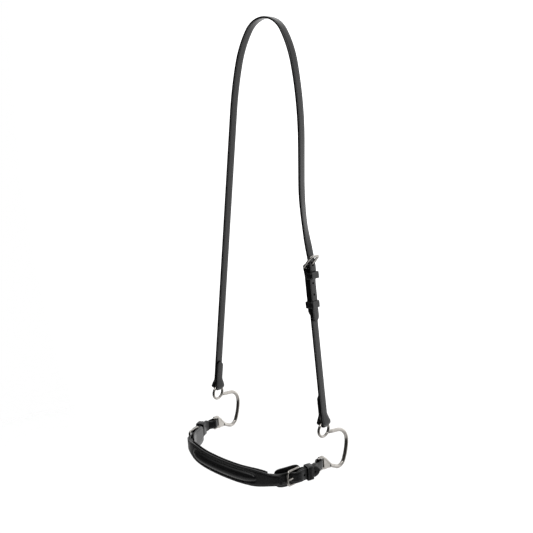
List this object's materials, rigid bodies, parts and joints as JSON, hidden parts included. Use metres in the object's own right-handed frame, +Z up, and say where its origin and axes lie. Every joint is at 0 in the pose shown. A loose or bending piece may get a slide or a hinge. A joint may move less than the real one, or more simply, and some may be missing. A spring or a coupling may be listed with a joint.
{
  "type": "kineton noseband",
  "caption": "Black leather Kineton noseband: a headpiece strap with a cheek buckle carries two steel D-shaped loops, joined in front by a padded nosepiece with a buckle on each side.",
  "frame": {"origin": "underside of the crown strap at its highest point, in the middle of its width, where it rests on the poll", "axes": "+Z up, -Y towards the horse's nose, +X towards the side with the cheek buckle"},
  "size_m": [0.2258, 0.1487, 0.6019],
  "materials": {
    "bridle_leather": "smooth black bridle leather with a soft waxed sheen",
    "edge_leather": "thin black leather, waxed edges",
    "lining_leather": "soft black lining leather, matt",
    "padding": "felt, hidden inside the bead",
    "thread": "waxed black thread",
    "polished_steel": "polished stainless steel"
  },
  "bodies": {
    "headstall": {"crown_strap": "bridle_leather", "cheek_strap": "bridle_leather", "crown_fixed_keeper": "edge_leather", "left_end_stitching": "thread", "right_end_stitching": "thread", "crown_chape_stitching": "thread"},
    "crown_frame": {"crown_buckle_frame": "polished_steel"},
    "crown_tongue": {"crown_buckle_tongue": "polished_steel"},
    "crown_keeper": {"crown_sliding_keeper": "edge_leather"},
    "noseband": {"nose_strap": "bridle_leather", "nose_cover": "bridle_leather", "nose_core": "padding", "nose_lining": "lining_leather", "nose_stitching": "thread", "left_chape": "bridle_leather", "right_chape": "bridle_leather", "left_safe": "edge_leather", "right_safe": "edge_leather", "left_chape_stitching": "thread", "right_chape_stitching": "thread"},
    "left_loop": {"left_loop": "polished_steel"},
    "right_loop": {"right_loop": "polished_steel"},
    "left_frame": {"left_buckle_frame": "polished_steel"},
    "right_frame": {"right_buckle_frame": "polished_steel"},
    "left_tongue": {"left_buckle_tongue": "polished_steel"},
    "right_tongue": {"right_buckle_tongue": "polished_steel"},
    "left_keeper": {"left_keeper": "edge_leather"},
    "right_keeper": {"right_keeper": "edge_leather"}
  },
  "joints": [
    {"name": "noseband_swing", "type": "hinge", "parent": "headstall", "child": "noseband", "pos_m": [0.004, 0, -0.5325], "axis": [1, 0, 0], "range_deg": [-30, 35]},
    {"name": "left_loop_swivel", "type": "hinge", "parent": "noseband", "child": "left_loop", "pos_m": [-0.0975, 0, -0.5325], "axis": [0, 0.1842, 0.9829], "range_deg": [-9, 1]},
    {"name": "right_loop_swivel", "type": "hinge", "parent": "noseband", "child": "right_loop", "pos_m": [0.1055, 0, -0.5325], "axis": [0, 0.1842, 0.9829], "range_deg": [-1, 9]},
    {"name": "crown_frame_turn", "type": "hinge", "parent": "headstall", "child": "crown_frame", "pos_m": [0.0753, 0, -0.314], "axis": [0, 1, 0], "range_deg": [-10, 0]},
    {"name": "crown_tongue_lift", "type": "hinge", "parent": "headstall", "child": "crown_tongue", "pos_m": [0.0753, 0, -0.314], "axis": [0, 1, 0], "range_deg": [0, 4]},
    {"name": "crown_keeper_slide", "type": "slide", "parent": "headstall", "child": "crown_keeper", "axis": [0.1499, 0, -0.9887], "range_m": [-0.015, 0.012]},
    {"name": "right_frame_turn", "type": "hinge", "parent": "noseband", "child": "right_frame", "pos_m": [0.10137, -0.04501, -0.58213], "axis": [0, -0.0785, 0.9969], "range_deg": [-3, 0]},
    {"name": "right_tongue_lift", "type": "hinge", "parent": "noseband", "child": "right_tongue", "pos_m": [0.10137, -0.04501, -0.58213], "axis": [0, -0.0785, 0.9969], "range_deg": [0, 4]},
    {"name": "left_frame_turn", "type": "hinge", "parent": "noseband", "child": "left_frame", "pos_m": [-0.09337, -0.04501, -0.58213], "axis": [0, -0.0785, 0.9969], "range_deg": [0, 3]},
    {"name": "left_tongue_lift", "type": "hinge", "parent": "noseband", "child": "left_tongue", "pos_m": [-0.09337, -0.04501, -0.58213], "axis": [0, -0.0785, 0.9969], "range_deg": [-4, 0]},
    {"name": "right_keeper_slide", "type": "slide", "parent": "noseband", "child": "right_keeper", "axis": [-0.342, -0.9368, -0.0737], "range_m": [-0.002, 0.003]},
    {"name": "left_keeper_slide", "type": "slide", "parent": "noseband", "child": "left_keeper", "axis": [0.342, -0.9368, -0.0737], "range_m": [-0.002, 0.003]}
  ]
}
